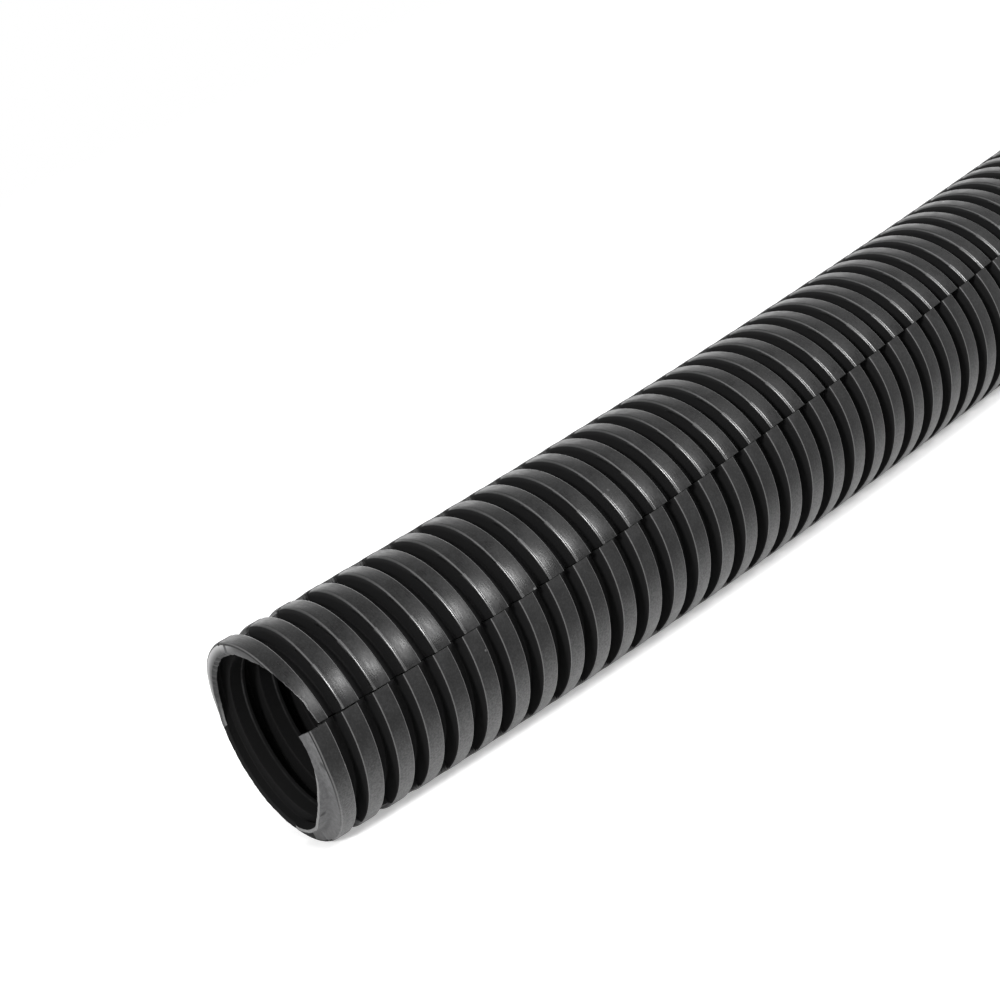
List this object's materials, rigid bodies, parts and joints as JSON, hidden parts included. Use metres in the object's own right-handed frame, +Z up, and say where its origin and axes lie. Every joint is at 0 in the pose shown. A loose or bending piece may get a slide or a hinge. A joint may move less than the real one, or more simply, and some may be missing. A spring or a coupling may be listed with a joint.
{
  "type": "split corrugated conduit",
  "caption": "Gently bent length of split corrugated tube with flat-topped ribs, a lengthwise slit and open cut ends, for bundling and protecting wires.",
  "frame": {"origin": "bottom centre of the bounding box, on the floor that the tube lies on", "axes": "+X along the line between the two cut ends, from the near mouth to the far end; +Z up; the bend opens towards +Y"},
  "size_m": [0.3026, 0.0422, 0.0285],
  "materials": {
    "black_plastic": "satin black moulded plastic with a fine mottle"
  },
  "bodies": {
    "root": {"corrugated_conduit": "black_plastic"}
  },
  "joints": []
}
